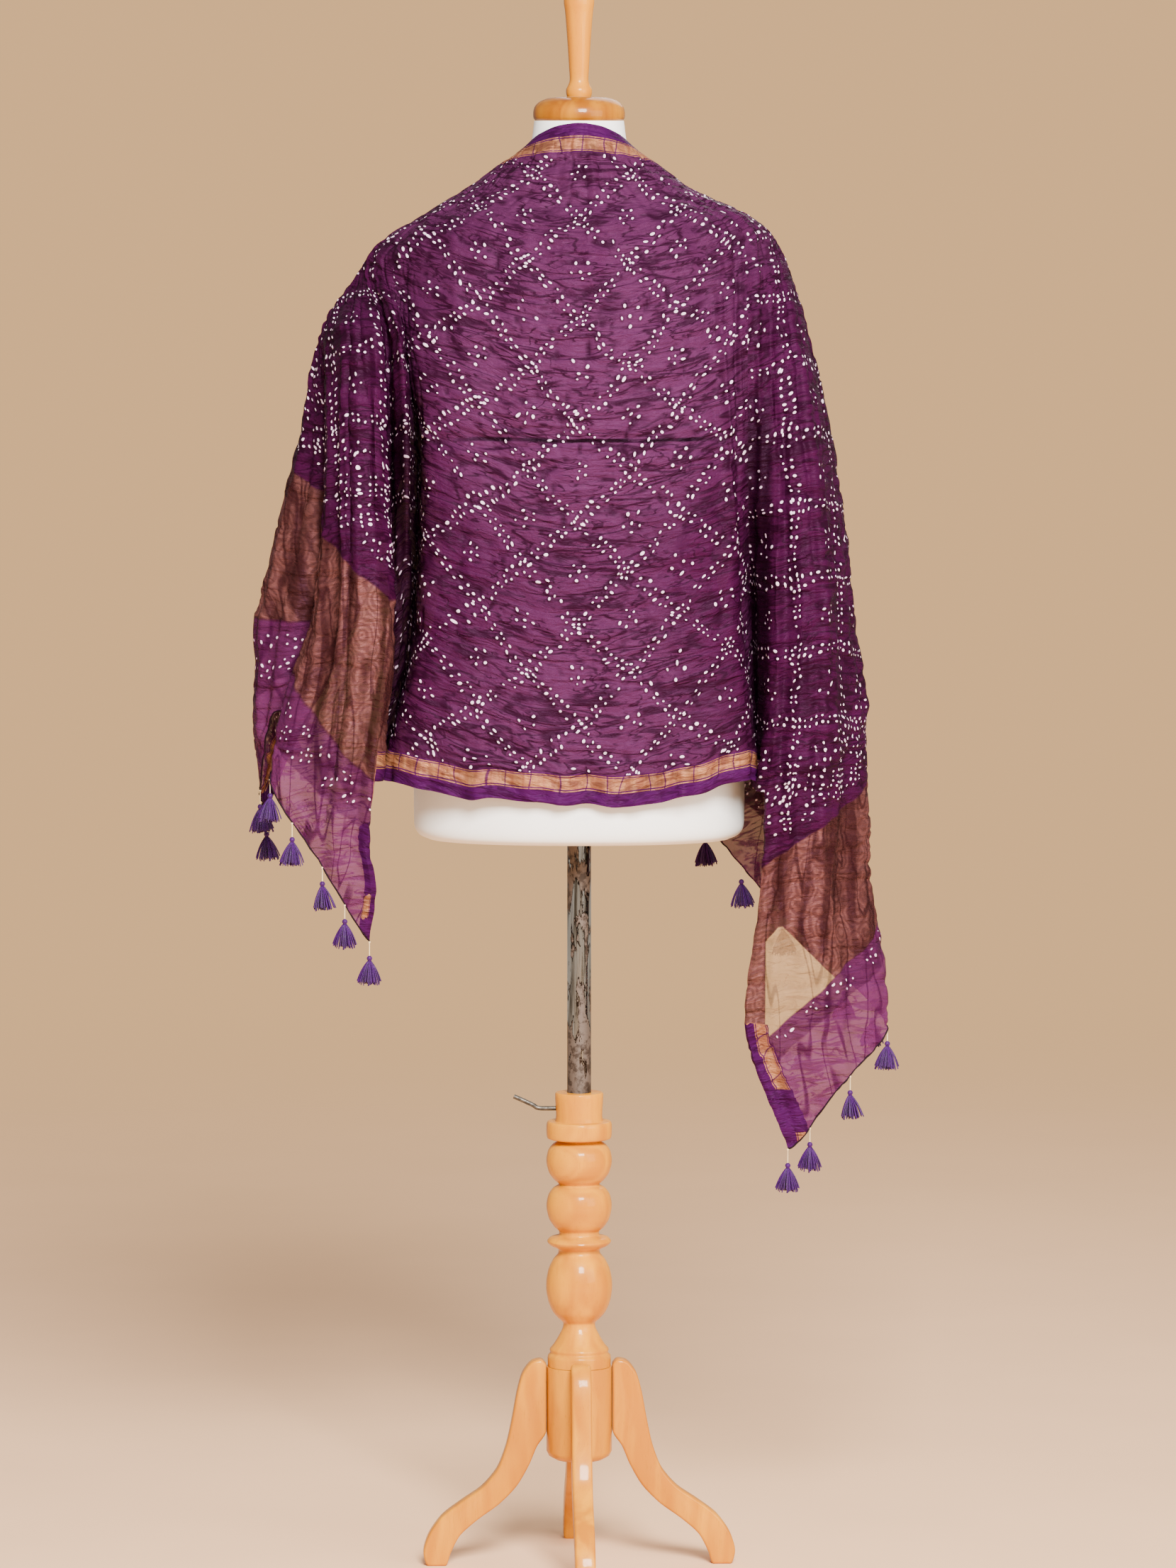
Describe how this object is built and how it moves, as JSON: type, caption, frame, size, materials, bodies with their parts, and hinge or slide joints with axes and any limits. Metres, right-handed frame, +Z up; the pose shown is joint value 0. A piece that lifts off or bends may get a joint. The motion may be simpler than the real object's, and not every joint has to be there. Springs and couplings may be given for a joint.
{
  "type": "dupatta stole on a dress form",
  "caption": "Tie-dyed crinkle dupatta with woven zari end panels and tassels, draped as a shawl over a limbless dress form on a turned wooden stand.",
  "frame": {"origin": "on the floor under the pole, at the centre of the bounding box's base", "axes": "+Z up along the pole, -Y towards the side that the cloth covers, +X to that side's right as the picture shows it"},
  "size_m": [0.6716, 0.3294, 1.654],
  "materials": {
    "bandhani": "thin crinkled silk, purple, with small resist-dyed white dots",
    "zari_pallu": "sheer copper-brown metallic weave",
    "tassel_thread": "violet silk thread",
    "form_skin": "white, satin",
    "turned_wood": "honey beech, varnished",
    "pole_steel": "plated steel tube, worn"
  },
  "bodies": {
    "stand": {"column": "turned_wood", "hub": "turned_wood", "leg_1": "turned_wood", "leg_2": "turned_wood", "leg_3": "turned_wood", "leg_4": "turned_wood"},
    "pole": {"pole": "pole_steel"},
    "clamp": {"clamp_screw": "pole_steel"},
    "form": {"torso": "form_skin", "neck_cap": "turned_wood", "finial": "turned_wood", "cloth_front": "bandhani", "cloth_left_pleat": "bandhani", "cloth_right_pleat": "bandhani", "cloth_left_fall": "bandhani", "cloth_left_outer": "bandhani", "cloth_left_back": "bandhani", "pallu_left_fall": "zari_pallu", "pallu_left_outer": "zari_pallu", "pallu_left_back": "zari_pallu", "end_left_fall": "bandhani", "end_left_outer": "bandhani", "end_left_back": "bandhani", "cloth_right_fall": "bandhani", "cloth_right_back": "bandhani", "pallu_right_fall": "zari_pallu", "pallu_right_back": "zari_pallu", "end_right_fall": "bandhani", "end_right_back": "bandhani", "tassel_left_1": "tassel_thread", "tassel_left_2": "tassel_thread", "tassel_left_3": "tassel_thread", "tassel_left_4": "tassel_thread", "tassel_left_5": "tassel_thread", "tassel_left_6": "tassel_thread", "tassel_left_7": "tassel_thread", "tassel_left_8": "tassel_thread", "tassel_right_1": "tassel_thread", "tassel_right_2": "tassel_thread", "tassel_right_3": "tassel_thread", "tassel_right_4": "tassel_thread", "tassel_right_5": "tassel_thread", "tassel_right_6": "tassel_thread", "tassel_right_7": "tassel_thread", "tassel_right_8": "tassel_thread", "tassel_right_9": "tassel_thread"}
  },
  "joints": [
    {"name": "height_slide", "type": "slide", "parent": "stand", "child": "pole", "axis": [0, 0, 1], "range_m": [-0.17, 0.1]},
    {"name": "form_swivel", "type": "hinge", "parent": "pole", "child": "form", "pos_m": [0, 0, 0.8], "axis": [0, 0, 1], "continuous": true},
    {"name": "clamp_turn", "type": "hinge", "parent": "stand", "child": "clamp", "pos_m": [-0.025, 0, 0.484], "axis": [-1, 0, 0], "range_deg": [-180, 180]}
  ]
}
